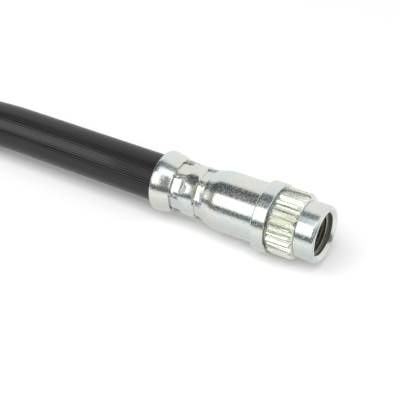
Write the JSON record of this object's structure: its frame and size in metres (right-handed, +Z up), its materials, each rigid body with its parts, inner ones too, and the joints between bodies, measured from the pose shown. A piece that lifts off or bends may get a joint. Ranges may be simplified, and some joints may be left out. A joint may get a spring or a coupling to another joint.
{
  "type": "hydraulic brake hose assembly",
  "caption": "Short rubber brake hose with a crimped zinc-plated steel socket fitting on each end: threaded mouth, round nose, locating serrations and bearing collar.",
  "frame": {"origin": "on the ground under the middle of the assembly, at the centre of the box of the two fittings", "axes": "+X along the hose towards the front fitting's mouth, +Z up, ground at Z 0"},
  "size_m": [0.26, 0.016, 0.016],
  "materials": {
    "front_plated_steel": "bright zinc plating",
    "rear_plated_steel": "bright zinc plating",
    "front_insert_steel": "plain turned steel",
    "rear_insert_steel": "plain turned steel",
    "inner_rubber": "smooth moulded rubber",
    "inner_braid_cord": "braided cord",
    "outer_braid_cord": "braided cord",
    "cushion_rubber": "plain rubber",
    "cover_rubber": "matte, finely lined along its length"
  },
  "bodies": {
    "root": {"front_fitting_body": "front_plated_steel", "front_insert": "front_insert_steel", "hose_inner_tube": "inner_rubber", "hose_inner_braid": "inner_braid_cord", "hose_cushion_layer": "cushion_rubber", "hose_outer_braid": "outer_braid_cord", "hose_outer_cover": "cover_rubber", "rear_insert": "rear_insert_steel", "rear_fitting_body": "rear_plated_steel"}
  },
  "joints": []
}
